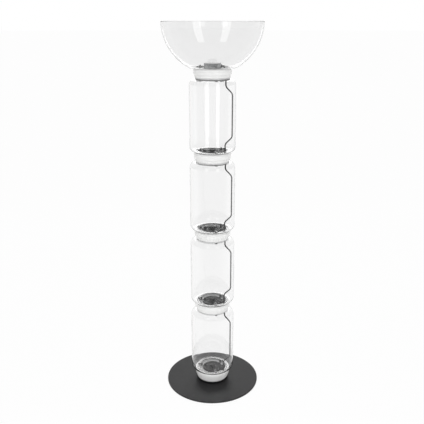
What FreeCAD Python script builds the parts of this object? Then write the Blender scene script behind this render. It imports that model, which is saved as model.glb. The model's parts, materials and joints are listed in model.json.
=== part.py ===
import FreeCAD, Part
import math
import os
import re

import Sketcher
from FreeCAD import Vector

# Floor lamp of four stacked glass tubes under a glass bowl, on a round base plate.
# Five ring assemblies sit under, between and over the tubes. Each holds a light band,
# and three swivelling clamp posts grip the lips of the glass above and below it.
# Millimetres, +Z up, origin at the centre of the underside. The front is towards -Y.

doc = FreeCAD.newDocument("tube_lamp")
sheet = doc.addObject("Spreadsheet::Sheet", "sizes")

drivingSizes = [
    # base
    ("plateRadius", 273, "base plate, outer radius"),
    ("plateThickness", 10, "base plate, thickness"),
    ("plateRound", 2.5, "base plate, edge radius"),
    ("footRadius", 12, "rubber foot, radius"),
    ("footThickness", 3, "rubber foot, thickness"),
    ("footSink", 1, "depth of the seats for the feet in the plate"),
    ("footInset", 33, "distance of the circle of feet from the plate's edge"),
    ("footCount", 6, "number of feet"),
    ("hubHeight", 13, "base hub, height"),
    ("hubWall", 8, "base hub, wall"),
    ("hubFloor", 3, "base hub, floor"),
    ("hubOpening", 30, "base hub, radius of the hole in the floor"),
    # mains inlet at the rear of the hub
    ("inletBore", 3.6, "mains inlet, bore radius for the lead"),
    ("inletNeck", 4.6, "mains inlet, neck radius in the hub's wall"),
    ("inletCap", 5.8, "mains inlet, cap radius"),
    ("inletReach", 9, "mains inlet, length outside the hub"),
    ("inletTail", 2, "mains inlet, length inside the hub"),
    # ring assemblies
    ("ringPitch", 445, "height from one ring assembly to the next"),
    ("recessHeight", 8, "dark recess under each light band"),
    ("bandHeight", 46, "light band, height"),
    ("bandDepth", 11.5, "light band, reach of the bulged upper part outside the frame"),
    ("bandLedge", 4.5, "light band, width of the step between its parts"),
    ("bandNeckHeight", 14, "light band, height of the lower part"),
    ("bandWall", 3.2, "light band, wall"),
    ("bandFlat", 1, "light band, width of its flat top outside the frame's wall"),
    ("bandTaper", 1.5, "light band, taper of the bulged part towards its lower edge"),
    ("bandTaperHeight", 12, "light band, height of that taper"),
    ("bandBelly", 60, "light band, radius between the taper and the upright part"),
    ("bandEdge", 3, "light band, radius of the lower edges of both parts"),
    ("bandStep", 1, "light band, radius of the corner between the parts"),
    ("frameRadius", 90, "ring frame, outer radius"),
    ("frameWall", 4, "ring frame, wall"),
    ("flangeWidth", 2.5, "ring frame, width of the flange under the band"),
    ("webThickness", 4, "ring frame, thickness of the web"),
    ("lowerGasket", 2, "gasket under the frame, thickness"),
    ("upperGasket", 1.5, "gasket over the frame, thickness"),
    ("gasketWidth", 9, "both gaskets, width"),
    ("gasketLip", 2, "both gaskets, reach outside the frame's wall"),
    ("seatGap", 0.4, "gap between the band and the frame's wall"),
    # light strip
    ("stripThickness", 1.2, "light strip, thickness"),
    ("stripWidth", 12, "light strip, height"),
    ("stripLift", 18, "light strip, height of its lower edge over the band's"),
    ("chipSize", 5, "light strip, side of a light chip"),
    ("chipThickness", 1.4, "light strip, thickness of a chip"),
    ("chipCount", 18, "light strip, number of chips"),
    # core housing and driver
    ("coreInset", 11, "core, distance of the disc inside the circle of posts"),
    ("coreDisc", 8, "core, thickness of the disc over the web"),
    ("coreRound", 1.5, "core, radius of the disc's edge"),
    ("coreSeat", 7, "core, width of the disc's seat on the web"),
    ("coreFit", 0.3, "gap between the core's drum and the web"),
    ("coreDepth", 32, "core, depth of the drum under the disc"),
    ("coreWall", 2.5, "core, wall"),
    ("coreHubRadius", 17.5, "core, radius of the raised hub"),
    ("coreHubHeight", 15.5, "core, height of the raised hub"),
    ("coreHubRound", 2, "core, radius of the hub's edge"),
    ("socketInset", 4, "core, distance of the socket box's end inside the glass lips"),
    ("socketWidth", 38, "core, width of the socket box"),
    ("socketHeight", 14, "core, height of the socket box over the web"),
    ("socketRound", 6, "core, corner radius of the socket box"),
    ("blockInset", 5, "core, distance of the terminal cover from the disc's edge"),
    ("blockLength", 16, "core, length of the terminal cover"),
    ("blockWidth", 12, "core, width of the terminal cover"),
    ("blockHeight", 9.5, "core, height of the terminal cover"),
    ("driverThickness", 14, "potted driver, thickness"),
    ("driverInset", 2, "potted driver, distance inside the drum's lower edge"),
    # clamp posts
    ("postInset", 12, "distance of the circle of clamp posts inside the glass lips"),
    ("postAngle", 45, "angle of the first clamp post"),
    ("postRadius", 5, "clamp post, radius"),
    ("postRise", 15.5, "clamp post, height over the band"),
    ("postRound", 1, "clamp post, radius of the top edge"),
    ("postFit", 0.05, "radial clearance of a post in its boss"),
    ("bossRadius", 8, "boss for a post, outer radius"),
    ("bossRise", 4, "boss for a post, height over the web"),
    ("bossLength", 28, "boss for a post, whole height"),
    ("collarRadius", 7.5, "collar on a post, radius"),
    ("collarHeight", 3, "collar on a post, height"),
    ("collarGap", 0.3, "gap between a collar and its boss"),
    ("fingerReach", 20, "clamp finger, length from the post's axis"),
    ("fingerWidth", 12, "clamp finger, width"),
    ("fingerThickness", 4, "clamp finger, thickness"),
    ("fingerRound", 4, "clamp finger, corner radius at the tip"),
    ("fingerHeel", 2, "clamp finger, reach behind the post"),
    ("fingerHeelRound", 3, "clamp finger, corner radius behind the post"),
    ("fingerGap", 0.5, "gap between a finger and the glass lip"),
    ("slotWidth", 1.6, "turning slot in a post, width"),
    ("slotDepth", 2, "turning slot in a post, depth"),
    # glass
    ("glassRadius", 125, "glass tube, outer radius"),
    ("glassWall", 3.5, "glass tube, wall"),
    ("lipFlat", 5, "glass tube, reach of the flat lips outside the frame's wall"),
    ("lipThickness", 4, "glass lips, thickness"),
    ("lipBore", 80, "glass lips, radius of the opening"),
    ("bowlRadius", 267.5, "bowl, outer radius of its sphere"),
    ("bowlFoot", 125, "bowl, radius at which its sphere meets the underside"),
    ("bowlDepth", 232.5, "bowl, depth from the rim to the underside"),
    ("bowlWall", 4, "bowl, wall"),
    ("heelRadius", 18, "bowl, radius of the outer heel"),
    ("rimRound", 1.6, "bowl, radius of the fire-polished rim"),
    # leads inside the tubes
    ("leadAngle", -14, "angle of the leads round the lamp"),
    ("leadRadius", 3.5, "lead, radius"),
    ("leadTopInset", 8, "lead, distance inside the glass lips at its upper end"),
    ("leadBottomInset", 10, "lead, distance inside the glass lips at its lower end"),
    ("leadInset", 13.5, "lead, distance of its long run from the inside of the glass"),
    ("leadBend", 29, "lead, radius of its bends"),
    ("leadStraight", 40, "lead, straight run under a ring and over a plug"),
    ("glandRadius", 7, "lead gland, radius"),
    ("glandCollar", 4, "lead gland, height of its collar"),
    ("glandLength", 16, "lead gland, length under the web"),
    ("glandNeck", 4.2, "lead gland and plug, radius of the narrow end"),
    ("plugRadius", 6, "lead plug, radius"),
    ("plugBody", 12, "lead plug, height of the body"),
    ("plugLength", 20, "lead plug, whole height"),
    ("plugRound", 1, "lead plug, radius of the shoulder"),
    # uplight on the top ring
    ("uplightInset", 12, "uplight, distance inside the core's edge"),
    ("uplightRound", 1.5, "uplight housing, radius of the lower edge"),
    ("uplightHeight", 25.5, "uplight housing, height"),
    ("uplightWall", 2.5, "uplight housing, wall"),
    ("uplightLedge", 4, "uplight housing, width of the ledge for the board"),
    ("uplightLedgeHeight", 16, "uplight housing, height of the ledge"),
    ("ventCount", 20, "uplight housing, number of vents"),
    ("ventWidth", 4, "uplight housing, width of a vent"),
    ("ventHeight", 5.5, "uplight housing, height of a vent"),
    ("ventMargin", 2, "uplight housing, wall over the vents"),
    ("boardThickness", 1.6, "uplight board, thickness"),
    ("boardChips", 12, "uplight board, number of light chips"),
    ("boardInset", 11.5, "uplight board, distance of the chips inside the ledge"),
    ("domeHeight", 6, "uplight lens, height"),
    ("domeEdge", 2, "uplight lens, height of its edge"),
    ("domeEdgeRound", 1, "uplight lens, radius of its edge"),
    ("domeSeat", 0.5, "uplight lens, height of its inner edge over the seat"),
    ("domeSlope", 25, "uplight lens, width of the slope round the flat middle"),
    ("domeRound", 60, "uplight lens, radius between the slope and the middle"),
    # screws
    ("screwAngle", 75, "angle of the first base screw"),
    ("screwInset", 14, "distance of the base screws inside the frame's wall"),
    ("screwRadius", 2.5, "base screw, shank radius"),
    ("screwHead", 5, "base screw, head radius"),
    ("screwHeadHeight", 3, "base screw, head height"),
    ("screwBite", 34, "base screw, length inside the lowest ring frame"),
    ("screwBoss", 6, "boss for a base screw, radius"),
    ("screwGap", 0.25, "radial gap round each screw"),
    ("pinAngle", 75, "angle of the first core screw"),
    ("pinInset", 3.5, "distance of the core screws from the disc's edge"),
    ("pinRadius", 1.5, "core screw, shank radius"),
    ("pinHead", 2.8, "core screw, head radius"),
    ("pinHeadHeight", 2, "core screw, head height"),
]

for row, (alias, number, note) in enumerate(drivingSizes, 1):
    sheet.set(f"A{row}", note)
    sheet.set(f"B{row}", str(number))
    sheet.setAlias(f"B{row}", alias)
doc.recompute()

# Heights and radii that follow from the driving sizes, as expressions over them.
plateBottom = "(footThickness - footSink)"
plateTop = f"({plateBottom} + plateThickness)"
inletHeight = "(hubHeight / 2)"
hubTop = f"({plateTop} + hubHeight)"
ringHeight = "(recessHeight + bandHeight)"
glassSeat = f"({ringHeight} + upperGasket)"
webTop = f"({ringHeight} - coreDisc)"
webUnder = f"({webTop} - webThickness)"
coreBottom = f"({webTop} - coreDepth)"
bossTop = f"({webTop} + bossRise)"
bossBottom = f"({bossTop} - bossLength)"
socketTop = f"({webTop} + socketHeight)"
plugTop = f"({socketTop} + plugLength)"
stripHeight = "(recessHeight + stripLift)"
fingerSeat = f"({glassSeat} + lipThickness + fingerGap)"
fingerUnder = "(-lipThickness - fingerGap)"

footCircle = "(plateRadius - footInset)"
flangeRadius = "(frameRadius + flangeWidth)"
bandRadius = "(frameRadius + bandDepth)"
bandNeckRadius = f"({bandRadius} - bandTaper - bandLedge)"
bandRound = "(bandDepth - bandFlat)"
stripRadius = "(frameRadius + stripThickness)"
gasketOuter = "(frameRadius + gasketLip)"
gasketInner = f"({gasketOuter} - gasketWidth)"
hubRadius = gasketOuter
screwCircle = "(frameRadius - frameWall - screwInset)"
shoulderRadius = "(glassRadius - frameRadius - lipFlat)"
postCircle = "(lipBore - postInset)"
socketReach = "(lipBore - socketInset)"
leadTop = "(lipBore - leadTopInset)"
leadBottom = "(lipBore - leadBottomInset)"
leadBow = "(glassRadius - glassWall - leadInset)"
coreRadius = f"({postCircle} - coreInset)"
webBore = f"({coreRadius} - coreSeat)"
coreDrum = f"({webBore} - coreFit)"
blockOuter = f"({coreRadius} - blockInset)"
pinCircle = f"({coreRadius} - pinInset)"
uplightRadius = f"({coreRadius} - uplightInset)"
domeTop = f"({uplightRadius} - domeSlope)"
bowlCentre = "sqrt(bowlRadius^2 - bowlFoot^2)"

ringNumbers = (1, 2, 3, 4, 5)
postNames = ("back", "left", "front")
aliasPattern = re.compile(r"\b(" + "|".join(alias for alias, number, note in drivingSizes) + r")\b")


def expand(text):
    return aliasPattern.sub(r"sizes.\1", str(text))


def value(text):
    return float(sheet.evalExpression(expand(text)))


def ringBase(number):
    # height of the underside of a ring assembly; ring 1 is the top one
    return f"({hubTop} + {ringNumbers[-1] - number} * ringPitch)"


def bind(thing, path, text):
    thing.setExpression(path, expand(text))


def newBody(label, height="0", turn=None):
    body = doc.addObject("PartDesign::Body", label)
    body.Label = label
    body.AllowCompound = True
    bind(body, "Placement.Base.z", height)
    if turn is not None:
        bind(body, "Placement.Rotation.Angle", f"({turn}) * 1 deg")
    return body


def originItem(body, role):
    return next(item for item in body.Origin.OriginFeatures if item.Role == role)


def newSketch(body, plane, shift=None, lift=None):
    sketch = body.newObject("Sketcher::SketchObject", body.Name + "_sketch")
    sketch.AttachmentSupport = [(originItem(body, plane), "")]
    sketch.MapMode = "FlatFace"
    if shift is not None:
        bind(sketch, "AttachmentOffset.Base.x", shift)
    if lift is not None:
        bind(sketch, "AttachmentOffset.Base.z", lift)
    return sketch


def place(sketch, item, end, x, y):
    # ties one point of a sketch to a place given by two expressions
    for axis, kind, text in ((-2, "DistanceX", x), (-1, "DistanceY", y)):
        if str(text) == "0":
            sketch.addConstraint(Sketcher.Constraint("PointOnObject", item, end, axis))
            continue
        index = sketch.addConstraint(Sketcher.Constraint(kind, -1, 1, item, end, value(text)))
        bind(sketch, f"Constraints[{index}]", text)


def outline(sketch, corners, closed=True):
    # straight runs between the corners; a corner with a third entry is rounded by that radius
    spots = [Vector(value(corner[0]), value(corner[1]), 0) for corner in corners]
    count = len(spots)
    arrive = list(spots)
    leave = list(spots)
    arcs = {}
    for index, corner in enumerate(corners):
        if len(corner) < 3:
            continue
        radius = value(corner[2])
        back = (spots[index - 1] - spots[index]).normalize()
        ahead = (spots[(index + 1) % count] - spots[index]).normalize()
        half = back.getAngle(ahead) / 2
        centre = spots[index] + (back + ahead).normalize() * (radius / math.sin(half))
        arrive[index] = spots[index] + back * (radius / math.tan(half))
        leave[index] = spots[index] + ahead * (radius / math.tan(half))
        leftTurn = back.cross(ahead).z < 0
        arcs[index] = (centre, radius, leftTurn)

    lineCount = count if closed else count - 1
    lines = []
    for index in range(lineCount):
        run = Part.LineSegment(leave[index], arrive[(index + 1) % count])
        lines.append(sketch.addGeometry(run, False))
    for index, corner in enumerate(corners):
        before = lines[index - 1] if closed or index > 0 else None
        after = lines[index] if index < lineCount else None
        if index not in arcs:
            if before is not None and after is not None:
                sketch.addConstraint(Sketcher.Constraint("Coincident", before, 2, after, 1))
            item, end = (after, 1) if after is not None else (before, 2)
            place(sketch, item, end, corner[0], corner[1])
            continue
        centre, radius, leftTurn = arcs[index]
        first, last = (arrive[index], leave[index]) if leftTurn else (leave[index], arrive[index])
        startAngle = math.atan2(first.y - centre.y, first.x - centre.x)
        endAngle = math.atan2(last.y - centre.y, last.x - centre.x)
        circle = Part.Circle(centre, Vector(0, 0, 1), radius)
        arc = sketch.addGeometry(Part.ArcOfCircle(circle, startAngle, endAngle), False)
        point = sketch.addGeometry(Part.Point(spots[index]), True)
        inEnd, outEnd = (1, 2) if leftTurn else (2, 1)
        sketch.addConstraint(Sketcher.Constraint("Tangent", before, 2, arc, inEnd))
        sketch.addConstraint(Sketcher.Constraint("Tangent", arc, outEnd, after, 1))
        sketch.addConstraint(Sketcher.Constraint("PointOnObject", point, 1, before))
        sketch.addConstraint(Sketcher.Constraint("PointOnObject", point, 1, after))
        size = sketch.addConstraint(Sketcher.Constraint("Radius", arc, radius))
        bind(sketch, f"Constraints[{size}]", corner[2])
        place(sketch, point, 1, corner[0], corner[1])


def rectangle(x1, y1, x2, y2):
    return [(x1, y1), (x2, y1), (x2, y2), (x1, y2)]


def circles(sketch, radius, spots):
    for x, y in spots:
        shape = Part.Circle(Vector(value(x), value(y), 0), Vector(0, 0, 1), value(radius))
        item = sketch.addGeometry(shape, False)
        size = sketch.addConstraint(Sketcher.Constraint("Radius", item, value(radius)))
        bind(sketch, f"Constraints[{size}]", radius)
        place(sketch, item, 3, x, y)


def onCircle(radius, angle, count=3):
    # places round the axis, as expressions
    places = []
    for index in range(count):
        turn = f"(({angle}) + {index * 360 / count}) * 1 deg"
        places.append((f"{radius} * cos({turn})", f"{radius} * sin({turn})"))
    return places


def cutsSomething(body, feature):
    # a cut that points the wrong way leaves the volume as it was
    doc.recompute()
    before = feature.BaseFeature.Shape.Volume
    if feature.Shape.Volume > before - 1e-3:
        raise RuntimeError(f"{feature.Name} in {body.Label} cuts nothing")


def revolve(body, shapes, cut=False, shift=None):
    # turns one or more outlines, in the upright X-Z plane, round the upright axis
    sketch = newSketch(body, "XZ_Plane", shift=shift)
    for corners in shapes:
        outline(sketch, corners)
    kind = "PartDesign::Groove" if cut else "PartDesign::Revolution"
    feature = body.newObject(kind, body.Name + ("_groove" if cut else "_turned"))
    feature.Profile = sketch
    feature.ReferenceAxis = (sketch, ["V_Axis"])
    feature.Angle = 360
    if cut:
        cutsSomething(body, feature)
    return feature


def extrude(body, draw, bottom, height, cut=False):
    # a flat drawing raised from a level, or cut out upwards from that level
    sketch = newSketch(body, "XY_Plane", lift=bottom)
    draw(sketch)
    kind = "PartDesign::Pocket" if cut else "PartDesign::Pad"
    feature = body.newObject(kind, body.Name + ("_pocket" if cut else "_pad"))
    feature.Profile = sketch
    feature.Reversed = cut
    bind(feature, "Length", height)
    if cut:
        cutsSomething(body, feature)
    return feature


def aroundAxis(body, feature, count):
    pattern = body.newObject("PartDesign::PolarPattern", body.Name + "_around")
    pattern.Originals = [feature]
    pattern.Axis = (originItem(body, "Z_Axis"), [""])
    pattern.Angle = 360
    bind(pattern, "Occurrences", count)
    body.Tip = pattern
    return pattern


def roundEdges(body, base, radius, wanted):
    doc.recompute()
    names = [f"Edge{number}" for number, edge in enumerate(base.Shape.Edges, 1) if wanted(edge)]
    feature = body.newObject("PartDesign::Fillet", body.Name + "_round")
    feature.Base = (base, names)
    bind(feature, "Radius", radius)
    return feature


def circleAt(edge, height, radius):
    # true for a full circle round the body's axis at this height and with this radius
    if not isinstance(edge.Curve, Part.Circle):
        return False
    sameHeight = abs(edge.Curve.Center.z - height) < 1e-4
    return sameHeight and abs(edge.Curve.Radius - radius) < 1e-4


def makeBase():
    plate = newBody("base_plate", plateBottom)
    revolve(plate, [[("0", "0"), ("plateRadius", "0", "plateRound"),
                     ("plateRadius", "plateThickness", "plateRound"), ("0", "plateThickness")]])
    screws = onCircle(screwCircle, "screwAngle")
    seats = onCircle(footCircle, "0", int(value("footCount")))
    extrude(plate, lambda s: circles(s, "footRadius", seats), "0", "footSink", cut=True)
    extrude(plate, lambda s: circles(s, "screwRadius + screwGap", screws),
            "0", "plateThickness", cut=True)
    extrude(plate, lambda s: circles(s, "screwHead + screwGap", screws),
            "0", "screwHeadHeight + screwGap", cut=True)

    feet = newBody("base_feet")
    extrude(feet, lambda s: circles(s, "footRadius", seats), "0", "footThickness")

    hub = newBody("base_hub", plateTop)
    bossHeight = "hubHeight + lowerGasket"
    revolve(hub, [[("hubOpening", "0"), (hubRadius, "0"), (hubRadius, "hubHeight"),
                   (f"{hubRadius} - hubWall", "hubHeight"), (f"{hubRadius} - hubWall", "hubFloor"),
                   ("hubOpening", "hubFloor")]])
    extrude(hub, lambda s: circles(s, "screwBoss", screws), "0", bossHeight)
    extrude(hub, lambda s: circles(s, "screwRadius + screwGap", screws), "0", bossHeight, cut=True)
    drilling = newSketch(hub, "XZ_Plane")
    circles(drilling, "inletNeck", [("0", inletHeight)])
    hole = hub.newObject("PartDesign::Pocket", "base_hub_inlet")
    hole.Profile = drilling
    hole.Reversed = False
    bind(hole, "Length", f"{hubRadius} + hubWall")
    cutsSomething(hub, hole)

    # base screws come up through the plate and the hub into the lowest ring frame
    bolts = newBody("base_screws", plateBottom, "screwAngle")
    tip = "plateThickness + hubHeight + lowerGasket + screwBite"
    bolt = revolve(bolts, [[("0", "screwGap"), ("screwHead", "screwGap"),
                            ("screwHead", "screwHeadHeight + screwGap"),
                            ("screwRadius", "screwHeadHeight + screwGap"),
                            ("screwRadius", tip), ("0", tip)]], shift=screwCircle)
    aroundAxis(bolts, bolt, "3")

    # the inlet's own axis is its body's Z axis, laid along +Y
    inlet = newBody("cord_inlet", f"{plateTop} + {inletHeight}")
    inlet.Placement.Rotation = FreeCAD.Rotation(Vector(1, 0, 0), -90)
    inside = f"{hubRadius} - hubWall - inletTail"
    outside = f"{hubRadius} + inletReach"
    revolve(inlet, [[("inletBore", inside), ("inletNeck", inside), ("inletNeck", hubRadius),
                     ("inletCap", hubRadius), ("inletCap", f"{hubRadius} + inletReach / 2"),
                     ("inletNeck", outside), ("inletBore", outside)]])


def makeFrame(number):
    frame = newBody(f"ring_{number}_frame", ringBase(number))
    inner = "frameRadius - frameWall"
    revolve(frame, [[(inner, "lowerGasket"), (flangeRadius, "lowerGasket"),
                     (flangeRadius, "recessHeight"), ("frameRadius", "recessHeight"),
                     ("frameRadius", ringHeight), (inner, ringHeight), (inner, webTop),
                     (webBore, webTop), (webBore, webUnder), (inner, webUnder)]])
    posts = onCircle(postCircle, "postAngle")
    screws = onCircle(screwCircle, "screwAngle")
    pins = onCircle(pinCircle, "pinAngle")
    lead = onCircle(leadTop, "leadAngle", 1)
    bossHeight = f"{bossTop} - {bossBottom}"
    extrude(frame, lambda s: circles(s, "bossRadius", posts), bossBottom, bossHeight)
    extrude(frame, lambda s: circles(s, "screwBoss", screws), "lowerGasket",
            f"{webUnder} - lowerGasket")
    extrude(frame, lambda s: circles(s, "postRadius + postFit", posts), bossBottom,
            bossHeight, cut=True)
    extrude(frame, lambda s: circles(s, "screwRadius", screws), "lowerGasket",
            "screwBite", cut=True)
    extrude(frame, lambda s: (circles(s, "pinRadius", pins), circles(s, "glandNeck", lead)),
            webUnder, "webThickness", cut=True)


def makeCore(number, blocked):
    core = newBody(f"ring_{number}_core", ringBase(number), "leadAngle")
    knobTop = f"{ringHeight} + coreHubHeight"
    revolve(core, [[("0", coreBottom), (coreDrum, coreBottom), (coreDrum, webTop),
                    (coreRadius, webTop), (coreRadius, ringHeight, "coreRound"),
                    ("coreHubRadius", ringHeight), ("coreHubRadius", knobTop, "coreHubRound"),
                    ("0", knobTop)]])
    half = "socketWidth / 2"
    box = [(coreDrum, f"-{half}"), (socketReach, f"-{half}", "socketRound"),
           (socketReach, half, "socketRound"), (coreDrum, half)]
    extrude(core, lambda s: outline(s, box), webTop, "socketHeight")
    if blocked:
        cover = rectangle(f"-{blockOuter}", "-blockWidth / 2",
                          f"-{blockOuter} + blockLength", "blockWidth / 2")
        extrude(core, lambda s: outline(s, cover), ringHeight, "blockHeight")
    bore = f"{coreDrum} - coreWall"
    ceiling = f"{ringHeight} - coreWall"
    hubBore = "coreHubRadius - coreWall"
    revolve(core, [[("0", coreBottom), (bore, coreBottom), (bore, ceiling),
                    (hubBore, ceiling), (hubBore, f"{knobTop} - coreWall"),
                    ("0", f"{knobTop} - coreWall")]], cut=True)
    pins = onCircle(pinCircle, "pinAngle - leadAngle")
    extrude(core, lambda s: circles(s, "pinRadius + screwGap", pins), webTop,
            f"{ringHeight} - {webTop}", cut=True)


def makeBand(number):
    band = newBody(f"ring_{number}_diffuser", ringBase(number))
    inner = "frameRadius + seatGap"
    step = "(recessHeight + bandNeckHeight)"
    roof = f"{ringHeight} - bandWall"
    bulgeInside = f"{bandRadius} - bandWall"
    neckInside = f"{bandNeckRadius} - bandWall"
    belly = f"{step} + bandTaperHeight"
    revolve(band, [[(inner, "recessHeight"), (bandNeckRadius, "recessHeight", "bandEdge"),
                    (bandNeckRadius, step, "bandStep"), (f"{bandRadius} - bandTaper", step, "bandEdge"),
                    (bandRadius, belly, "bandBelly"), (bandRadius, ringHeight, bandRound),
                    (inner, ringHeight), (inner, roof),
                    (bulgeInside, roof, f"{bandRound} - bandWall"), (bulgeInside, belly),
                    (f"{bulgeInside} - bandTaper", f"{step} + bandWall"),
                    (neckInside, f"{step} + bandWall"), (neckInside, "recessHeight + bandWall"),
                    (inner, "recessHeight + bandWall")]])

    strip = newBody(f"ring_{number}_led_strip", ringBase(number))
    stripTop = f"{stripHeight} + stripWidth"
    revolve(strip, [rectangle("frameRadius", stripHeight, stripRadius, stripTop)])
    chip = rectangle(f"{stripRadius} - stripThickness / 2", "-chipSize / 2",
                     f"{stripRadius} + chipThickness", "chipSize / 2")
    chipBottom = f"{stripHeight} + (stripWidth - chipSize) / 2"
    first = extrude(strip, lambda s: outline(s, chip), chipBottom, "chipSize")
    aroundAxis(strip, first, "chipCount")

    gaskets = newBody(f"ring_{number}_gaskets", ringBase(number))
    revolve(gaskets, [rectangle(gasketInner, "0", gasketOuter, "lowerGasket"),
                      rectangle(gasketInner, ringHeight, gasketOuter, glassSeat)])


def makeClamp(number, index, lower):
    # one post with a finger over the lip above and, between two glasses, one under the lip below
    name = postNames[index]
    turn = f"postAngle + {index * 120}"
    clamp = newBody(f"ring_{number}_clamp_{name}", ringBase(number), turn)
    x, y = onCircle(postCircle, turn, 1)[0]
    bind(clamp, "Placement.Base.x", x)
    bind(clamp, "Placement.Base.y", y)
    underside = f"{fingerUnder} - fingerThickness"
    lowCollar = f"{bossBottom} - collarGap"
    highCollar = f"{bossTop} + collarGap"
    foot = underside if lower else f"{lowCollar} - collarHeight"
    top = f"{ringHeight} + postRise"
    post = [("0", foot), ("postRadius", foot), ("postRadius", f"{lowCollar} - collarHeight"),
            ("collarRadius", f"{lowCollar} - collarHeight"), ("collarRadius", lowCollar),
            ("postRadius", lowCollar), ("postRadius", highCollar), ("collarRadius", highCollar),
            ("collarRadius", f"{highCollar} + collarHeight"),
            ("postRadius", f"{highCollar} + collarHeight"), ("postRadius", top, "postRound"), ("0", top)]
    if not lower:
        post = [("0", foot)] + post[3:]
    revolve(clamp, [post])
    half = "fingerWidth / 2"
    heel = "-(postRadius + fingerHeel)"
    finger = [(heel, f"-{half}", "fingerHeelRound"), ("fingerReach", f"-{half}", "fingerRound"),
              ("fingerReach", half, "fingerRound"), (heel, half, "fingerHeelRound")]
    extrude(clamp, lambda s: outline(s, finger), fingerSeat, "fingerThickness")
    if lower:
        extrude(clamp, lambda s: outline(s, finger), underside, "fingerThickness")
    slot = rectangle("-postRadius", "-slotWidth / 2", "postRadius", "slotWidth / 2")
    extrude(clamp, lambda s: outline(s, slot), f"{top} - slotDepth", "slotDepth", cut=True)


def makeTube(number):
    # stands on the ring below it and carries the ring of its own number
    tube = newBody(f"glass_tube_{number}", f"{ringBase(number + 1)} + {glassSeat}")
    top = f"ringPitch - {glassSeat}"
    inside = "glassRadius - glassWall"
    innerRound = f"{shoulderRadius} - glassWall"
    revolve(tube, [[("lipBore", "0"), ("glassRadius", "0", shoulderRadius),
                    ("glassRadius", top, shoulderRadius), ("lipBore", top),
                    ("lipBore", f"{top} - lipThickness"),
                    (inside, f"{top} - lipThickness", innerRound),
                    (inside, "lipThickness", innerRound), ("lipBore", "lipThickness")]])


def makeBowl():
    bowl = newBody("bowl_shade", f"{ringBase(1)} + {glassSeat}")
    sketch = newSketch(bowl, "XZ_Plane")
    centreHeight = value(bowlCentre)
    rim = value("bowlDepth")
    floor = value("lipThickness")
    bore = value("lipBore")
    arcs = []
    for radius, low in ((value("bowlRadius"), 0), (value("bowlRadius - bowlWall"), floor)):
        ends = []
        for level in (low, rim):
            drop = centreHeight - level
            ends.append(math.atan2(-drop, math.sqrt(radius**2 - drop**2)))
        circle = Part.Circle(Vector(0, centreHeight, 0), Vector(0, 0, 1), radius)
        arcs.append(Part.ArcOfCircle(circle, ends[0], ends[1]))
    outer, inner = arcs
    shapes = [outer, inner,
              Part.LineSegment(Vector(bore, 0, 0), outer.StartPoint),
              Part.LineSegment(outer.EndPoint, inner.EndPoint),
              Part.LineSegment(inner.StartPoint, Vector(bore, floor, 0)),
              Part.LineSegment(Vector(bore, floor, 0), Vector(bore, 0, 0))]
    outerArc, innerArc, under, rimEdge, over, mouth = sketch.addGeometry(shapes, False)
    joins = ((under, 2, outerArc, 1), (outerArc, 2, rimEdge, 1), (rimEdge, 2, innerArc, 2),
             (innerArc, 1, over, 1), (over, 2, mouth, 1), (mouth, 2, under, 1))
    for join in joins:
        sketch.addConstraint(Sketcher.Constraint("Coincident", *join))
    for arc, radius in ((outerArc, "bowlRadius"), (innerArc, "bowlRadius - bowlWall")):
        size = sketch.addConstraint(Sketcher.Constraint("Radius", arc, value(radius)))
        bind(sketch, f"Constraints[{size}]", radius)
        place(sketch, arc, 3, "0", bowlCentre)
    for line in (under, rimEdge, over):
        sketch.addConstraint(Sketcher.Constraint("Horizontal", line))
    level = sketch.addConstraint(Sketcher.Constraint("DistanceY", -1, 1, rimEdge, 1, rim))
    bind(sketch, f"Constraints[{level}]", "bowlDepth")
    place(sketch, over, 2, "lipBore", "lipThickness")
    place(sketch, under, 1, "lipBore", "0")

    turned = bowl.newObject("PartDesign::Revolution", "bowl_shade_turned")
    turned.Profile = sketch
    turned.ReferenceAxis = (sketch, ["V_Axis"])
    turned.Angle = 360
    innerHeel = math.sqrt(value("bowlRadius - bowlWall")**2 - (centreHeight - floor)**2)
    heel = roundEdges(bowl, turned, "heelRadius", lambda edge: circleAt(edge, 0, value("bowlFoot")))
    heel = roundEdges(bowl, heel, "heelRadius - lipThickness",
                      lambda edge: circleAt(edge, floor, innerHeel))
    roundEdges(bowl, heel, "rimRound",
               lambda edge: isinstance(edge.Curve, Part.Circle)
               and abs(edge.Curve.Center.z - rim) < 1e-4)


def makeLead(number):
    # from the gland under one ring, out along the glass, to the plug on the ring below
    lead = newBody(f"lead_{number}", ringBase(number + 1), "leadAngle")
    top = f"(ringPitch + {webUnder} - glandLength)"
    glassTop = "ringPitch"
    outStart = f"({glassTop} - leadStraight)"
    backEnd = f"({plugTop} + leadStraight / 2)"
    path = newSketch(lead, "XZ_Plane")
    outline(path, [(leadBottom, plugTop), (leadBottom, backEnd, "leadBend"),
                   (leadBow, f"{backEnd} + {leadBow} - {leadBottom}", "leadBend"),
                   (leadBow, f"{outStart} - ({leadBow} - {leadTop})", "leadBend"),
                   (leadTop, outStart, "leadBend"), (leadTop, top)], closed=False)
    section = newSketch(lead, "XY_Plane", lift=plugTop)
    circles(section, "leadRadius", [(leadBottom, "0")])
    sweep = lead.newObject("PartDesign::AdditivePipe", f"lead_{number}_sweep")
    sweep.Profile = section
    sweep.Spine = (path, [])
    doc.recompute()
    length = sum(edge.Length for edge in path.Shape.Edges)
    expected = math.pi * value("leadRadius")**2 * length
    print(f"lead_{number}: {length:.1f} mm long, volume {sweep.Shape.Volume:.0f},"
          f" section times length {expected:.0f}, bends {value('leadBend')} mm")


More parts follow.
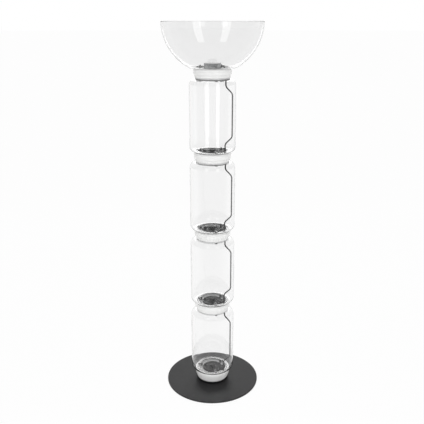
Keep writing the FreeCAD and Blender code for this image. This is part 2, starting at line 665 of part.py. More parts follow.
def makeGroups():
    fittings = newBody("lead_fittings", "0", "leadAngle")
    screws = newBody("core_screws", "0")
    drivers = newBody("ring_drivers", "0")
    pins = onCircle(pinCircle, "pinAngle")
    potting = []
    for number in ringNumbers:
        base = ringBase(number)
        low = f"{base} + {coreBottom} + driverInset"
        potting.append(rectangle("0", low, f"{coreDrum} - coreWall", f"{low} + driverThickness"))
        headSeat = f"{base} + {ringHeight}"
        extrude(screws, lambda s: circles(s, "pinRadius", pins), f"{base} + {webUnder}",
                f"{ringHeight} - {webUnder}")
        extrude(screws, lambda s: circles(s, "pinHead", pins), headSeat, "pinHeadHeight")
        if number > 1:
            seat = f"{base} + {socketTop}"
            plug = [("0", seat), ("plugRadius", seat), ("plugRadius", f"{seat} + plugBody", "plugRound"),
                    ("glandNeck", f"{seat} + plugLength"), ("0", f"{seat} + plugLength")]
            revolve(fittings, [plug], shift=leadBottom)
        if number < ringNumbers[-1]:
            under = f"{base} + {webUnder}"
            gland = [("0", f"{under} - glandLength"), ("glandNeck", f"{under} - glandLength"),
                     ("glandRadius", f"{under} - glandCollar"), ("glandRadius", under),
                     ("glandNeck", under), ("glandNeck", f"{under} + webThickness"),
                     ("0", f"{under} + webThickness")]
            revolve(fittings, [gland], shift=leadTop)
    revolve(drivers, potting)


def makeUplight():
    seat = f"{ringBase(1)} + {ringHeight}"
    housing = newBody("uplight_housing", seat)
    bore = "coreHubRadius + screwGap"
    wall = f"{uplightRadius} - uplightWall"
    ledge = f"{wall} - uplightLedge"
    revolve(housing, [[(bore, "0"), (uplightRadius, "0", "uplightRound"),
                       (uplightRadius, "uplightHeight"), (wall, "uplightHeight"),
                       (wall, "uplightLedgeHeight"), (ledge, "uplightLedgeHeight"),
                       (ledge, "uplightWall"), (bore, "uplightWall")]])
    # vents, in the wall over the board
    ventBottom = "uplightHeight - ventHeight - ventMargin"
    drawing = newSketch(housing, "YZ_Plane")
    outline(drawing, rectangle("-ventWidth / 2", ventBottom, "ventWidth / 2",
                               f"{ventBottom} + ventHeight"))
    vent = housing.newObject("PartDesign::Pocket", "uplight_vent")
    vent.Profile = drawing
    bind(vent, "Length", f"{uplightRadius} + 1")
    cutsSomething(housing, vent)
    aroundAxis(housing, vent, "ventCount")

    board = newBody("uplight_board", f"{seat} + uplightLedgeHeight")
    revolve(board, [rectangle("0", "0", f"{wall} - screwGap", "boardThickness")])
    middle = f"({ledge} - boardInset)"
    chip = rectangle(f"{middle} - chipSize / 2", "-chipSize / 2",
                     f"{middle} + chipSize / 2", "chipSize / 2")
    first = extrude(board, lambda s: outline(s, chip), "boardThickness", "chipThickness")
    aroundAxis(board, first, "boardChips")

    lens = newBody("uplight_lens", f"{seat} + uplightHeight")
    underDome = "domeHeight - uplightWall"
    revolve(lens, [[(wall, "0"), (uplightRadius, "0"), (uplightRadius, "domeEdge", "domeEdgeRound"),
                    (domeTop, "domeHeight", "domeRound"), ("0", "domeHeight"), ("0", underDome),
                    (domeTop, underDome, "domeRound - uplightWall"), (wall, "domeSeat")]])


makeBase()
for ring in ringNumbers:
    makeFrame(ring)
    makeCore(ring, blocked=ring > 1)
    makeBand(ring)
    for post in range(3):
        makeClamp(ring, post, lower=ring < ringNumbers[-1])
for ring in ringNumbers[:-1]:
    makeTube(ring)
    makeLead(ring)
makeBowl()
makeGroups()
makeUplight()

doc.recompute()
for item in doc.Objects:
    if "Invalid" in item.State or "Error" in item.State:
        raise RuntimeError(f"{item.Label}: {item.State}")

os.makedirs("parts", exist_ok=True)
for body in doc.findObjects("PartDesign::Body"):
    shape = body.Shape
    if shape.isNull() or not shape.isValid() or not shape.Solids:
        raise RuntimeError(f"{body.Label} has no valid solid")
    shape.exportStep(f"parts/{body.Label}.step")
    print(f"{body.Label}: {len(shape.Solids)} solids, {shape.Volume / 1000:.1f} cm3")
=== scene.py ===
import json
import math

import bmesh
import bpy
from mathutils import Matrix, Vector


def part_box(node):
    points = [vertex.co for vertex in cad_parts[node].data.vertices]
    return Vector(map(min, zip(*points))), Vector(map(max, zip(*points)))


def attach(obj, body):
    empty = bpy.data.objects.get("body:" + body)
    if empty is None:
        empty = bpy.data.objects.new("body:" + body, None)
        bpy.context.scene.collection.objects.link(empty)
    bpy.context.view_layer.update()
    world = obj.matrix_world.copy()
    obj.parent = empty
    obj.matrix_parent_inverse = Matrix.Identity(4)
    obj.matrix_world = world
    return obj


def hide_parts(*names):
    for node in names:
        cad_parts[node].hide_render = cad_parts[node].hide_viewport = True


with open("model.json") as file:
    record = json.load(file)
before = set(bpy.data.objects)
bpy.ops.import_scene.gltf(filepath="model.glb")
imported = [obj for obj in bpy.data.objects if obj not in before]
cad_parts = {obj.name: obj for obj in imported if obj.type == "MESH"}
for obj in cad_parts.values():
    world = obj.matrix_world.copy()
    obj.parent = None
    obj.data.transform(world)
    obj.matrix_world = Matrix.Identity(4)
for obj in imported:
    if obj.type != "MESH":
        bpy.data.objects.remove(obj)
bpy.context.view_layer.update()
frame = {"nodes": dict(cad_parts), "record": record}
nodes = frame["nodes"]
ringNumbers = (1, 2, 3, 4, 5)   # ring 1 is the top one
leadAngle = math.radians(-14)   # where the socket boxes and the leads stand, seen from above


# helpers

weldDistance = 1e-6             # points nearer than this are one point
sharpAngle = math.radians(38)   # an edge that turns more than this stays crisp


def hexColour(text):
    # an sRGB hex colour as the linear one that shaders take
    parts = [int(text[i:i + 2], 16) / 255 for i in (0, 2, 4)]
    linear = [c / 12.92 if c <= 0.04045 else ((c + 0.055) / 1.055) ** 2.4 for c in parts]
    return (*linear, 1.0)


def addNode(tree, kind, inputs=None, **settings):
    # an input is given as a value, or as the socket that feeds it
    node = tree.nodes.new(kind)
    for name, setting in settings.items():
        setattr(node, name, setting)
    for name, value in (inputs or {}).items():
        socket = node.inputs[name]
        if isinstance(value, bpy.types.NodeSocket):
            tree.links.new(value, socket)
        else:
            socket.default_value = value
    return node


def newMaterial(name):
    material = bpy.data.materials.new(name)
    material.use_nodes = True
    material.node_tree.nodes.clear()
    return material, material.node_tree


def finishPiece(bm, name, material, slot, body="lamp", stands=()):
    # closes the mesh, turns its faces outwards and hands it to the body that carries it
    bmesh.ops.remove_doubles(bm, verts=bm.verts[:], dist=weldDistance)
    bmesh.ops.recalc_face_normals(bm, faces=bm.faces[:])
    mesh = bpy.data.meshes.new(name)
    bm.to_mesh(mesh)
    bm.free()
    mesh.shade_smooth()
    mesh.set_sharp_from_angle(angle=sharpAngle)
    piece = bpy.data.objects.new(name, mesh)
    bpy.context.scene.collection.objects.link(piece)
    mesh.materials.append(material)
    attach(piece, body)
    if stands:
        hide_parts(*stands)
    return piece


# outlines are drawn in the X-Z plane, as (radius, height), and turned round the lamp's axis

def startAt(bm, radius, height):
    return bm.verts.new((radius, 0, height))


def lineTo(bm, start, radius, height):
    end = bm.verts.new((radius, 0, height))
    bm.edges.new((start, end))
    return end


def arcTo(bm, start, centre, degrees, steps):
    # goes on round a centre; a positive turn runs from upwards to outwards
    made = bmesh.ops.spin(bm, geom=[start], cent=(centre[0], 0, centre[1]), dvec=(0, 0, 0),
                          axis=(0, 1, 0), angle=math.radians(degrees), steps=steps)
    return next(item for item in made["geom_last"] if isinstance(item, bmesh.types.BMVert))


def turn(bm, segments, longest=None):
    # long straight runs are divided first, so that the shading stays even along them
    if longest:
        for edge in [e for e in bm.edges if e.calc_length() > longest]:
            cuts = int(edge.calc_length() / longest)
            bmesh.ops.subdivide_edges(bm, edges=[edge], cuts=cuts)
    bmesh.ops.spin(bm, geom=bm.verts[:] + bm.edges[:], cent=(0, 0, 0), dvec=(0, 0, 0),
                   axis=(0, 0, 1), angle=math.tau, steps=segments, use_merge=True)


def moveTo(bm, turned=0.0, place=(0, 0, 0)):
    # turns a piece round the lamp's axis after it is pushed out along X
    bmesh.ops.translate(bm, verts=bm.verts[:], vec=place)
    bmesh.ops.rotate(bm, verts=bm.verts[:], cent=(0, 0, 0),
                     matrix=Matrix.Rotation(turned, 3, "Z"))


def bevelEdges(bm, edges, radius, segments=3):
    bmesh.ops.bevel(bm, geom=edges, offset=radius, offset_type="OFFSET", affect="EDGES",
                    segments=segments, profile=0.5, material=-1)


# finishes

def grainySurface(name, look):
    # paint, plastic, rubber and plated metal: the colour drifts slowly, a fine grain breaks the
    # gloss, and light that sinks in travels about 4 mm
    material, tree = newMaterial(name)
    place = addNode(tree, "ShaderNodeTexCoord").outputs["Object"]
    drift = addNode(tree, "ShaderNodeTexNoise",
                    {"Vector": place, "Scale": 1 / look["driftSize"], "Detail": 3.0})
    grain = addNode(tree, "ShaderNodeTexNoise",
                    {"Vector": place, "Scale": 1 / look["grainSize"], "Detail": 2.0})
    colour = addNode(tree, "ShaderNodeMix",
                     {0: drift.outputs[0], 6: hexColour(look["dark"]), 7: hexColour(look["pale"])},
                     data_type="RGBA")
    roughness = addNode(tree, "ShaderNodeMapRange",
                        {"Value": grain.outputs[0], "From Min": 0.3, "From Max": 0.7,
                         "To Min": look["smooth"], "To Max": look["rough"]})
    bump = addNode(tree, "ShaderNodeBump",
                   {"Height": grain.outputs[0], "Strength": look["bump"],
                    "Distance": look["grainSize"] / 4})
    shader = addNode(tree, "ShaderNodeBsdfPrincipled",
                     {"Base Color": colour.outputs[2], "Roughness": roughness.outputs[0],
                      "Normal": bump.outputs[0], "Metallic": look.get("metallic", 0.0),
                      "Specular IOR Level": look.get("specular", 0.5),
                      "Subsurface Weight": look.get("scatter", 0.0),
                      "Subsurface Radius": (0.004, 0.004, 0.004),
                      "Subsurface Scale": 1.0})
    addNode(tree, "ShaderNodeOutputMaterial", {"Surface": shader.outputs[0]})
    return material


# polyester powder coat with a fine texture: matt, no clear reflection, a faint orange peel
charcoalCoat = grainySurface("powderCoatCharcoal", {
    "dark": "29292a", "pale": "343435", "driftSize": 0.09, "grainSize": 0.0022,
    "smooth": 0.42, "rough": 0.58, "bump": 0.55, "specular": 0.4})

# the same coat in black, on the cast hub
blackCoat = grainySurface("powderCoatBlack", {
    "dark": "141414", "pale": "1c1c1c", "driftSize": 0.05, "grainSize": 0.0018,
    "smooth": 0.45, "rough": 0.65, "bump": 0.4, "specular": 0.3})

# pale silver lacquer over a bead-blasted aluminium casting: light grey, soft sheen
castAluminium = grainySurface("lacqueredAluminium", {
    "dark": "d2d3d3", "pale": "dedede", "driftSize": 0.03, "grainSize": 0.0016,
    "smooth": 0.38, "rough": 0.55, "bump": 0.4, "metallic": 0.1})

# satin nickel plate on turned steel: warm grey, clear but soft highlights
satinNickel = grainySurface("satinNickel", {
    "dark": "868686", "pale": "989898", "driftSize": 0.012, "grainSize": 0.0008,
    "smooth": 0.22, "rough": 0.36, "bump": 0.12, "metallic": 1.0})

# bright zinc plate: bluish, a little cloudy
brightZinc = grainySurface("brightZinc", {
    "dark": "acaeaf", "pale": "c6c7c8", "driftSize": 0.006, "grainSize": 0.0006,
    "smooth": 0.2, "rough": 0.34, "bump": 0.1, "metallic": 1.0})

# satin stoved paint on a zinc die casting: mid grey with a soft sheen
greyPaint = grainySurface("stovedGreyPaint", {
    "dark": "a6a7a8", "pale": "b0b1b2", "driftSize": 0.02, "grainSize": 0.001,
    "smooth": 0.34, "rough": 0.46, "bump": 0.15})

# satin opal acrylic: white, light sinks in a few millimetres, so its shading is soft
opalAcrylic = grainySurface("opalAcrylic", {
    "dark": "f3f3f2", "pale": "f7f7f6", "driftSize": 0.06, "grainSize": 0.003,
    "smooth": 0.24, "rough": 0.32, "bump": 0.03, "scatter": 0.35})

# frosted polycarbonate: milky and matt, greyer than the opal bands
frostedPolycarbonate = grainySurface("frostedPolycarbonate", {
    "dark": "dededd", "pale": "e8e8e7", "driftSize": 0.015, "grainSize": 0.0012,
    "smooth": 0.4, "rough": 0.55, "bump": 0.15, "scatter": 0.25})

# glass-filled nylon from a spark-eroded mould: black, an even fine grain, dull sheen
grainedNylon = grainySurface("grainedNylon", {
    "dark": "141415", "pale": "1c1c1e", "driftSize": 0.02, "grainSize": 0.0012,
    "smooth": 0.42, "rough": 0.6, "bump": 0.45, "specular": 0.3})

# plain moulded nylon of glands and plugs: black with a slight sheen
plainNylon = grainySurface("plainNylon", {
    "dark": "161618", "pale": "1e1e20", "driftSize": 0.01, "grainSize": 0.0008,
    "smooth": 0.3, "rough": 0.42, "bump": 0.15})

# PVC sheath of a round lead: near black, smooth, a dull sheen along it
leadSheath = grainySurface("pvcSheath", {
    "dark": "0e0e0e", "pale": "161617", "driftSize": 0.02, "grainSize": 0.001,
    "smooth": 0.42, "rough": 0.55, "bump": 0.1, "specular": 0.2})

# moulded rubber: black, matt, dusty highlights
blackRubber = grainySurface("mouldedRubber", {
    "dark": "121212", "pale": "1c1c1c", "driftSize": 0.01, "grainSize": 0.001,
    "smooth": 0.62, "rough": 0.78, "bump": 0.3, "specular": 0.3})

# moulded silicone rubber: pale grey and a little cloudy, light sinks in at its edges
greySilicone = grainySurface("mouldedSilicone", {
    "dark": "a2a2a2", "pale": "acacac", "driftSize": 0.02, "grainSize": 0.001,
    "smooth": 0.4, "rough": 0.52, "bump": 0.1, "scatter": 0.3})

# cast potting resin: near black, glossy where it set, slow waves
pottingResin = grainySurface("pottingResin", {
    "dark": "1a1a1c", "pale": "242427", "driftSize": 0.018, "grainSize": 0.008,
    "smooth": 0.12, "rough": 0.24, "bump": 0.2})

# white solder mask on a circuit board: clean, semi-gloss
solderMask = grainySurface("whiteSolderMask", {
    "dark": "e2e3df", "pale": "eeeeea", "driftSize": 0.01, "grainSize": 0.0012,
    "smooth": 0.3, "rough": 0.4, "bump": 0.1})


def sodaLimeGlass(name, look):
    # blown clear soda-lime glass: colourless, fire-polished, faint slow waves from the blowing;
    # rays between other surfaces pass it as light does, so that it casts no dark shadow
    material, tree = newMaterial(name)
    place = addNode(tree, "ShaderNodeTexCoord").outputs["Object"]
    waves = addNode(tree, "ShaderNodeTexNoise",
                    {"Vector": place, "Scale": 1 / look["waveSize"], "Detail": 1.0})
    bump = addNode(tree, "ShaderNodeBump",
                   {"Height": waves.outputs[0], "Strength": 0.5, "Distance": look["waveDepth"]})
    glass = addNode(tree, "ShaderNodeBsdfPrincipled",
                    {"Base Color": hexColour(look["tint"]), "Roughness": 0.0,
                     "IOR": 1.5, "Transmission Weight": 1.0, "Normal": bump.outputs[0]})
    clear = addNode(tree, "ShaderNodeBsdfTransparent", {"Color": hexColour(look["shade"])})
    path = addNode(tree, "ShaderNodeLightPath")
    soft = addNode(tree, "ShaderNodeMath",
                   {0: path.outputs["Is Shadow Ray"], 1: path.outputs["Is Diffuse Ray"]},
                   operation="MAXIMUM")
    both = addNode(tree, "ShaderNodeMixShader",
                   {0: soft.outputs[0], 1: glass.outputs[0], 2: clear.outputs[0]})
    addNode(tree, "ShaderNodeOutputMaterial", {"Surface": both.outputs[0]})
    return material


# the bowl's wall is thicker and greyer than the tubes', which show next to no tint
bowlGlass = sodaLimeGlass("blownBowlGlass", {
    "tint": "fbfbfb", "waveSize": 0.11, "waveDepth": 0.0008, "shade": "f5f5f5"})
tubeGlass = sodaLimeGlass("blownTubeGlass", {
    "tint": "fdfdfd", "waveSize": 0.07, "waveDepth": 0.0005, "shade": "fafafa"})


def dressNodes():
    # every node of the frame gets its finish by the record's material slot
    finishes = {
        "powder_coat_charcoal": charcoalCoat, "powder_coat_black": blackCoat,
        "cast_aluminium": castAluminium, "clamp_steel": satinNickel, "zinc_steel": brightZinc,
        "die_cast_grey": greyPaint, "clear_glass": tubeGlass, "opal_acrylic": opalAcrylic,
        "frosted_polycarbonate": frostedPolycarbonate, "core_housing_black": grainedNylon,
        "nylon_black": plainNylon, "lead_sheath": leadSheath, "rubber_black": blackRubber,
        "gasket_grey": greySilicone, "potting_resin": pottingResin, "circuit_board": solderMask}
    slots = {part["node"]: part["material_slot"] for part in frame["record"]["subparts"]}
    for name, node in nodes.items():
        node.data.materials.clear()
        node.data.materials.append(finishes[slots[name]])
    print("nodes dressed:", len(nodes))


dressNodes()


# glass

def makeTube(number):
    # outline runs up the outside from the lower lip, over the upper lip and down the inside
    size = {"wall": 0.0035, "lip": 0.004, "lipBore": 0.080, "shoulder": 0.030,
            "segments": 160, "arcSteps": 16, "longest": 0.016}
    low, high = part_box(f"glass_tube_{number}")
    radius, bottom, top = high.x, low.z, high.z
    shoulder, wall, lip = size["shoulder"], size["wall"], size["lip"]
    inner = shoulder - wall
    bm = bmesh.new()
    first = startAt(bm, size["lipBore"], bottom)
    spot = lineTo(bm, first, radius - shoulder, bottom)
    spot = arcTo(bm, spot, (radius - shoulder, bottom + shoulder), -90, size["arcSteps"])
    spot = lineTo(bm, spot, radius, top - shoulder)
    spot = arcTo(bm, spot, (radius - shoulder, top - shoulder), -90, size["arcSteps"])
    spot = lineTo(bm, spot, size["lipBore"], top)
    spot = lineTo(bm, spot, size["lipBore"], top - lip)
    spot = lineTo(bm, spot, radius - shoulder, top - lip)
    spot = arcTo(bm, spot, (radius - shoulder, top - lip - inner), 90, size["arcSteps"])
    spot = lineTo(bm, spot, radius - wall, bottom + lip + inner)
    spot = arcTo(bm, spot, (radius - shoulder, bottom + lip + inner), 90, size["arcSteps"])
    spot = lineTo(bm, spot, size["lipBore"], bottom + lip)
    bm.edges.new((spot, first))
    turn(bm, size["segments"], size["longest"])
    finishPiece(bm, f"tube_glass_{number}", tubeGlass, "clear_glass",
                stands=[f"glass_tube_{number}"])


def makeBowl():
    # flat foot, rounded heel, a nearly half sphere and a fire-polished rim
    size = {"sphere": 0.2675, "wall": 0.004, "foot": 0.125, "heel": 0.018, "lipBore": 0.080,
            "segments": 224, "sphereSteps": 72, "heelSteps": 10, "rimSteps": 8}
    low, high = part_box("bowl_shade")
    bottom, rim = low.z, high.z
    wall = size["wall"]
    centre = bottom + math.sqrt(size["sphere"] ** 2 - size["foot"] ** 2)

    def wallArcs(bm, spot, radius, heel, floor, rise):
        # heel and sphere of one face of the wall, upwards or back down
        reach = math.sqrt((radius - heel) ** 2 - (centre - floor - heel) ** 2)
        heelTurn = math.degrees(math.atan2(reach, centre - floor - heel))
        drop = centre - (rim - wall / 2)
        sphereTurn = math.degrees(math.acos(drop / radius)) - heelTurn
        if rise:
            spot = lineTo(bm, spot, reach, floor)
            spot = arcTo(bm, spot, (reach, floor + heel), -heelTurn, size["heelSteps"])
            return arcTo(bm, spot, (0, centre), -sphereTurn, size["sphereSteps"])
        spot = arcTo(bm, spot, (0, centre), sphereTurn, size["sphereSteps"])
        return arcTo(bm, spot, (reach, floor + heel), heelTurn, size["heelSteps"])

    bm = bmesh.new()
    first = startAt(bm, size["lipBore"], bottom)
    spot = wallArcs(bm, first, size["sphere"], size["heel"], bottom, True)
    middle = Vector((spot.co.x - wall / 2, spot.co.z))
    spot = arcTo(bm, spot, middle, -180, size["rimSteps"])
    spot = wallArcs(bm, spot, size["sphere"] - wall, size["heel"] - wall, bottom + wall, False)
    spot = lineTo(bm, spot, size["lipBore"], bottom + wall)
    bm.edges.new((spot, first))
    turn(bm, size["segments"])
    finishPiece(bm, "bowl_glass", bowlGlass, "clear_glass", stands=["bowl_shade"])


for tube in ringNumbers[:-1]:
    makeTube(tube)
makeBowl()
print("glass made")


# cores: the housings in the middle of the rings

coreSize = {"hubHeight": 0.0155, "disc": 0.057, "discThickness": 0.008, "edge": 0.0015,
            "drum": 0.0497, "wall": 0.0025, "hub": 0.0175}


def makeHousing(number):
    # outline from the ceiling inside, down and out round the drum, over the disc and up the hub
    size = {"grooves": (0.0475, 0.040, 0.0325, 0.025), "grooveTop": 0.0020, "grooveFoot": 0.0011,
            "grooveDepth": 0.0013, "hubEdge": 0.002, "hubFoot": 0.001, "dish": 0.0135,
            "dishDepth": 0.0011, "pin": 0.0042, "pinDepth": 0.0008, "segments": 128,
            "footSteps": 3, "edgeSteps": 5, "filletSteps": 4}
    low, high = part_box(f"ring_{number}_core")
    bottom, hubTop = low.z, high.z
    top = hubTop - coreSize["hubHeight"]
    under = top - coreSize["discThickness"]
    drum, disc, hub, edge = (coreSize[key] for key in ("drum", "disc", "hub", "edge"))
    bm = bmesh.new()
    spot = startAt(bm, 0, top - coreSize["wall"])
    for radius, height in ((drum - coreSize["wall"], top - coreSize["wall"]),
                           (drum - coreSize["wall"], bottom), (drum - edge / 2, bottom)):
        spot = lineTo(bm, spot, radius, height)
    spot = arcTo(bm, spot, (drum - edge / 2, bottom + edge / 2), -90, size["footSteps"])
    spot = lineTo(bm, spot, drum, under)
    spot = lineTo(bm, spot, disc, under)
    spot = lineTo(bm, spot, disc, top - edge)
    spot = arcTo(bm, spot, (disc - edge, top - edge), -90, size["edgeSteps"])
    for radius in size["grooves"]:
        for out, down in ((size["grooveTop"], 0), (size["grooveFoot"], size["grooveDepth"]),
                          (-size["grooveFoot"], size["grooveDepth"]), (-size["grooveTop"], 0)):
            spot = lineTo(bm, spot, radius + out, top - down)
    spot = lineTo(bm, spot, hub + size["hubFoot"], top)
    spot = arcTo(bm, spot, (hub + size["hubFoot"], top + size["hubFoot"]), 90,
                 size["filletSteps"])
    spot = lineTo(bm, spot, hub, hubTop - size["hubEdge"])
    spot = arcTo(bm, spot, (hub - size["hubEdge"], hubTop - size["hubEdge"]), -90,
                 size["edgeSteps"])
    dish, pin = hubTop - size["dishDepth"], hubTop - size["dishDepth"] - size["pinDepth"]
    for radius, height in ((size["dish"], hubTop), (size["dish"] - size["dishDepth"], dish),
                           (size["pin"], dish), (size["pin"] - size["pinDepth"], pin), (0, pin)):
        spot = lineTo(bm, spot, radius, height)
    turn(bm, size["segments"])
    # the top one lies in the bowl's foot and is painted like the uplight on it
    finish = (greyPaint, "die_cast_grey") if number == 1 else (grainedNylon, "core_housing_black")
    finishPiece(bm, f"ring_{number}_core_housing", *finish, stands=[f"ring_{number}_core"])


def makeSocketBox(number):
    # takes the lead's plug; a lid with a joint line round it lies flush in its top
    size = {"from": 0.046, "to": 0.076, "width": 0.038, "height": 0.014, "corner": 0.006,
            "cornerSteps": 8, "edge": 0.001, "rim": 0.0022, "joint": 0.0007,
            "jointDepth": 0.0006}
    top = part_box(f"ring_{number}_core")[1].z - coreSize["hubHeight"]
    bottom = top - coreSize["discThickness"]
    bm = bmesh.new()
    bmesh.ops.create_cube(bm, size=1)
    bmesh.ops.scale(bm, verts=bm.verts[:],
                    vec=(size["to"] - size["from"], size["width"], size["height"]))
    outer = [e for e in bm.edges if all(v.co.x > 0 for v in e.verts)
             and e.verts[0].co.y == e.verts[1].co.y]
    bevelEdges(bm, outer, size["corner"], size["cornerSteps"])
    lid = max(bm.faces, key=lambda face: face.calc_center_median().z)
    bevelEdges(bm, list(lid.edges), size["edge"])
    lid = max(bm.faces, key=lambda face: (round(face.calc_center_median().z, 6), face.calc_area()))
    bmesh.ops.inset_region(bm, faces=[lid], thickness=size["rim"])
    joint = bmesh.ops.inset_region(bm, faces=[lid], thickness=size["joint"])["faces"]
    groove = bmesh.ops.extrude_face_region(bm, geom=joint)["geom"]
    bmesh.ops.delete(bm, geom=joint, context="FACES_ONLY")
    floor = [item for item in groove if isinstance(item, bmesh.types.BMVert)]
    bmesh.ops.translate(bm, verts=floor, vec=(0, 0, -size["jointDepth"]))
    moveTo(bm, leadAngle, ((size["from"] + size["to"]) / 2, 0, bottom + size["height"] / 2))
    finishPiece(bm, f"ring_{number}_socket_box", grainedNylon, "core_housing_black")


def makeTerminalCover(number):
    # a snap-on cover opposite the socket box, with three ribs across it to pull it by;
    # half of each rib stands out of its top
    size = {"from": 0.036, "to": 0.052, "width": 0.012, "height": 0.0095, "edge": 0.0008,
            "rib": 0.0010, "ribShare": 0.7, "ribs": (-0.004, 0, 0.004)}
    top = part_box(f"ring_{number}_core")[1].z - coreSize["hubHeight"]
    length = size["to"] - size["from"]
    height = size["height"] - size["rib"]
    bm = bmesh.new()
    bmesh.ops.create_cube(bm, size=1)
    bmesh.ops.scale(bm, verts=bm.verts[:], vec=(length, size["width"], height))
    bmesh.ops.translate(bm, verts=bm.verts[:], vec=(0, 0, height / 2))
    bevelEdges(bm, [e for e in bm.edges if max(v.co.z for v in e.verts) > height / 2],
               size["edge"])
    for aside in size["ribs"]:
        made = bmesh.ops.create_cube(bm, size=1)["verts"]
        bmesh.ops.scale(bm, verts=made, vec=(size["rib"], size["width"] * size["ribShare"],
                                             size["rib"] * 2))
        bmesh.ops.translate(bm, verts=made, vec=(aside, 0, height))
    moveTo(bm, leadAngle + math.pi, ((size["from"] + size["to"]) / 2, 0, top))
    finishPiece(bm, f"ring_{number}_terminal_cover", grainedNylon, "core_housing_black")


def makeCoreScrews():
    # three pan-head screws with a hexagon socket on each core
    size = {"circle": 0.0535, "angle": 75, "head": 0.0028, "headHeight": 0.002, "round": 0.0008,
            "roundSteps": 4, "shank": 0.0015, "length": 0.011, "inset": 0.0006,
            "socket": 0.0011, "socketDepth": 0.0012, "segments": 24}
    side = math.radians(60)   # what each side of the socket takes up of the turn
    bm = bmesh.new()
    for number in ringNumbers:
        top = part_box(f"ring_{number}_core")[1].z - coreSize["hubHeight"]
        for turned in (0, 120, 240):
            one = bmesh.new()
            bmesh.ops.create_cone(one, cap_ends=True, segments=size["segments"], radius1=size["head"],
                                  radius2=size["head"], depth=size["headHeight"])
            crown = max(one.faces, key=lambda face: face.calc_center_median().z)
            bevelEdges(one, list(crown.edges), size["round"], size["roundSteps"])
            crown = max(one.faces, key=lambda face: (round(face.calc_center_median().z, 6),
                                                     face.calc_area()))
            bmesh.ops.inset_region(one, faces=[crown], thickness=size["inset"])
            for vert in crown.verts:
                # the round edge of the inset is drawn in to a hexagon
                around = math.atan2(vert.co.y, vert.co.x)
                fromFlat = (around + side / 2) % side - side / 2
                reach = size["socket"] / math.cos(fromFlat)
                vert.co.x, vert.co.y = reach * math.cos(around), reach * math.sin(around)
            well = bmesh.ops.extrude_face_region(one, geom=[crown])["geom"]
            bmesh.ops.delete(one, geom=[crown], context="FACES_ONLY")
            bmesh.ops.translate(one, vec=(0, 0, -size["socketDepth"]),
                                verts=[v for v in well if isinstance(v, bmesh.types.BMVert)])
            sole = min(one.faces, key=lambda face: face.calc_center_median().z)
            bmesh.ops.inset_region(one, faces=[sole], thickness=size["head"] - size["shank"])
            shank = bmesh.ops.extrude_face_region(one, geom=[sole])["geom"]
            bmesh.ops.delete(one, geom=[sole], context="FACES_ONLY")
            bmesh.ops.translate(one, vec=(0, 0, -size["length"]),
                                verts=[v for v in shank if isinstance(v, bmesh.types.BMVert)])
            moveTo(one, math.radians(size["angle"] + turned),
                   (size["circle"], 0, top + size["headHeight"] / 2))
            mesh = bpy.data.meshes.new("screw")
            one.to_mesh(mesh)
            one.free()
            bm.from_mesh(mesh)
            bpy.data.meshes.remove(mesh)
    finishPiece(bm, "core_screw_set", brightZinc, "zinc_steel", stands=["core_screws"])


for ring in ringNumbers:
    makeHousing(ring)
    makeSocketBox(ring)
    if ring > 1:
        makeTerminalCover(ring)
makeCoreScrews()
print("cores made")


# studio

def rayKinds(tree):
    # rays that should meet plain white, and rays that some surface has mirrored on their way
    path = addNode(tree, "ShaderNodeLightPath")
    direct = addNode(tree, "ShaderNodeMath",
                     {0: path.outputs["Is Camera Ray"], 1: path.outputs["Is Transmission Ray"]},
                     operation="MAXIMUM")
    white = addNode(tree, "ShaderNodeMath",
                    {0: direct.outputs[0], 1: path.outputs["Is Glossy Ray"]}, operation="MAXIMUM")
    mirrored = addNode(tree, "ShaderNodeMath", {0: path.outputs["Glossy Depth"], 1: 0.5},
                       operation="GREATER_THAN")
    return white.outputs[0], mirrored.outputs[0]


def roomDepth(tree, coordinate, near, far, dim, bright):
    # dim towards the room, on the camera's side, and white towards the paper sweep behind
    place = addNode(tree, "ShaderNodeTexCoord").outputs[coordinate]
    axes = addNode(tree, "ShaderNodeSeparateXYZ", {0: place})
    depth = addNode(tree, "ShaderNodeMapRange",
                    {"Value": axes.outputs["Y"], "From Min": near, "From Max": far,
                     "To Min": dim, "To Max": bright}, interpolation_type="SMOOTHSTEP")
    return depth.outputs[0]


def makeSky():
    # even soft light for the object, plain white for the camera, a lit room in reflections
    look = {"ambient": 0.68, "room": 0.1, "sweep": 0.93, "near": 0.2, "far": 0.95}
    world = bpy.data.worlds.new("studio")
    bpy.context.scene.world = world
    world.use_nodes = True
    tree = world.node_tree
    tree.nodes.clear()
    white, mirrored = rayKinds(tree)
    room = roomDepth(tree, "Generated", look["near"], look["far"], look["room"], look["sweep"])
    plain = addNode(tree, "ShaderNodeMix", {0: white, 2: look["ambient"], 3: 1.0},
                    data_type="FLOAT")
    strength = addNode(tree, "ShaderNodeMix", {0: mirrored, 2: plain.outputs[0], 3: room},
                       data_type="FLOAT")
    sky = addNode(tree, "ShaderNodeBackground",
                  {"Color": (1, 1, 1, 1), "Strength": strength.outputs[0]})
    addNode(tree, "ShaderNodeOutputWorld", {"Surface": sky.outputs[0]})


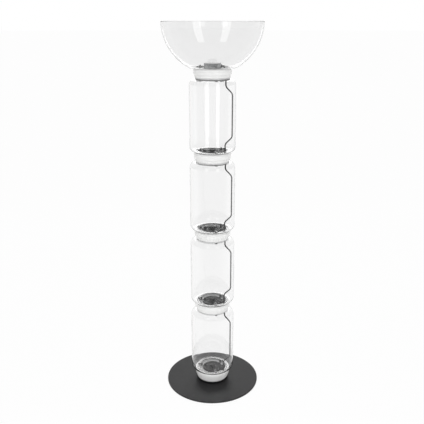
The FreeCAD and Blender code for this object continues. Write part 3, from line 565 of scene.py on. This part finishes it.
def makeFloor():
    # white paper: most of what the camera sees of it is its own white, the rest takes the shadow
    look = {"radius": 190.0, "segments": 96, "paper": "fdfdfd", "whiteShare": 0.95,
            "near": -2.4, "far": 0.4, "dim": 0.6, "bright": 0.96}
    bm = bmesh.new()
    bmesh.ops.create_circle(bm, cap_ends=True, segments=look["segments"], radius=look["radius"])
    mesh = bpy.data.meshes.new("floor")
    bm.to_mesh(mesh)
    bm.free()
    floor = bpy.data.objects.new("floor", mesh)
    bpy.context.scene.collection.objects.link(floor)
    material, tree = newMaterial("paperSweep")
    white, mirrored = rayKinds(tree)
    room = roomDepth(tree, "Object", look["near"], look["far"], look["dim"], look["bright"])
    strength = addNode(tree, "ShaderNodeMix", {0: mirrored, 2: 1.0, 3: room}, data_type="FLOAT")
    glow = addNode(tree, "ShaderNodeEmission",
                   {"Color": (1, 1, 1, 1), "Strength": strength.outputs[0]})
    paper = addNode(tree, "ShaderNodeBsdfDiffuse", {"Color": hexColour(look["paper"])})
    share = addNode(tree, "ShaderNodeMath", {0: white, 1: look["whiteShare"]},
                    operation="MULTIPLY")
    both = addNode(tree, "ShaderNodeMixShader",
                   {0: share.outputs[0], 1: paper.outputs[0], 2: glow.outputs[0]})
    addNode(tree, "ShaderNodeOutputMaterial", {"Surface": both.outputs[0]})
    mesh.materials.append(material)


def softLight(name, low, high, width, radiance, mirrored=True, through=True):
    # a softbox that runs from its low end to its high end and faces the lamp;
    # a radiance of 1 is as bright as the white sweep; it may show in what is mirrored,
    # and also behind a glass wall
    low, high = Vector(low), Vector(high)
    light = bpy.data.lights.new(name, "AREA")
    light.shape = "RECTANGLE"
    light.size = width
    light.size_y = (high - low).length
    light.energy = radiance * 4 * light.size * light.size_y   # radiance is energy / (4 * area)
    box = bpy.data.objects.new(name, light)
    bpy.context.scene.collection.objects.link(box)
    upwards = (high - low).normalized()
    across = upwards.cross(Vector((low.x, low.y, 0))).normalized()
    facing = across.cross(upwards)
    box.matrix_world = Matrix.LocRotScale((low + high) / 2,
                                          Matrix((across, upwards, facing)).transposed(), None)
    box.visible_camera = False
    box.visible_glossy = mirrored
    box.visible_transmission = through


def makeLights():
    # a tall softbox stands front left and one front right, and both lean outwards: their
    # reflections run down the bowl and the top tube; one overhead fills the base, a low one in
    # front fills the lower bands, and one behind gives the plate and the housings their sheen
    look = {"away": 1.0, "bottom": 1.24, "top": 2.35, "radiance": 1.05,
            "left": (-26, -32, 0.28), "right": (24, 29, 0.26),
            "overheadFrom": (0.5, -2.2, 3.6), "overheadTo": (0.5, -0.9, 4.2),
            "overheadWidth": 1.8, "overheadRadiance": 1.0,
            "fillFrom": (0, -1.5, 0.1), "fillTo": (0, -1.5, 0.7),
            "fillWidth": 1.2, "fillRadiance": 1.6,
            "rearFrom": (0, 4, 2.2), "rearTo": (0, 4, 3.8),
            "rearWidth": 1.8, "rearRadiance": 1.7}
    for side in ("left", "right"):
        lowTurn, highTurn, width = look[side]
        ends = [(look["away"] * math.sin(math.radians(degrees)),
                 -look["away"] * math.cos(math.radians(degrees)), height)
                for degrees, height in ((lowTurn, look["bottom"]), (highTurn, look["top"]))]
        softLight(f"softbox_{side}", *ends, width, look["radiance"])
    softLight("softbox_overhead", look["overheadFrom"], look["overheadTo"],
              look["overheadWidth"], look["overheadRadiance"], mirrored=False, through=False)
    softLight("softbox_fill", look["fillFrom"], look["fillTo"],
              look["fillWidth"], look["fillRadiance"], mirrored=False, through=False)
    softLight("softbox_rear", look["rearFrom"], look["rearTo"], look["rearWidth"],
              look["rearRadiance"])


def makeCamera():
    # fitted to the ellipses of the rim, the rings and the base in the photograph
    view = {"lens": 50.498, "distance": 3.19387, "height": 2.08259, "down": 17.6097,
            "aside": -0.0027, "sensor": 36.0, "farthest": 200.0}
    data = bpy.data.cameras.new("camera")
    data.lens = view["lens"]
    data.sensor_width = view["sensor"]
    data.clip_end = view["farthest"]
    camera = bpy.data.objects.new("camera", data)
    bpy.context.scene.collection.objects.link(camera)
    camera.location = (view["aside"], -view["distance"], view["height"])
    camera.rotation_euler = (math.radians(90 - view["down"]), 0, 0)
    bpy.context.scene.camera = camera
    bpy.context.scene.view_settings.view_transform = "Standard"


makeSky()
makeFloor()
makeLights()
makeCamera()
print("studio made")
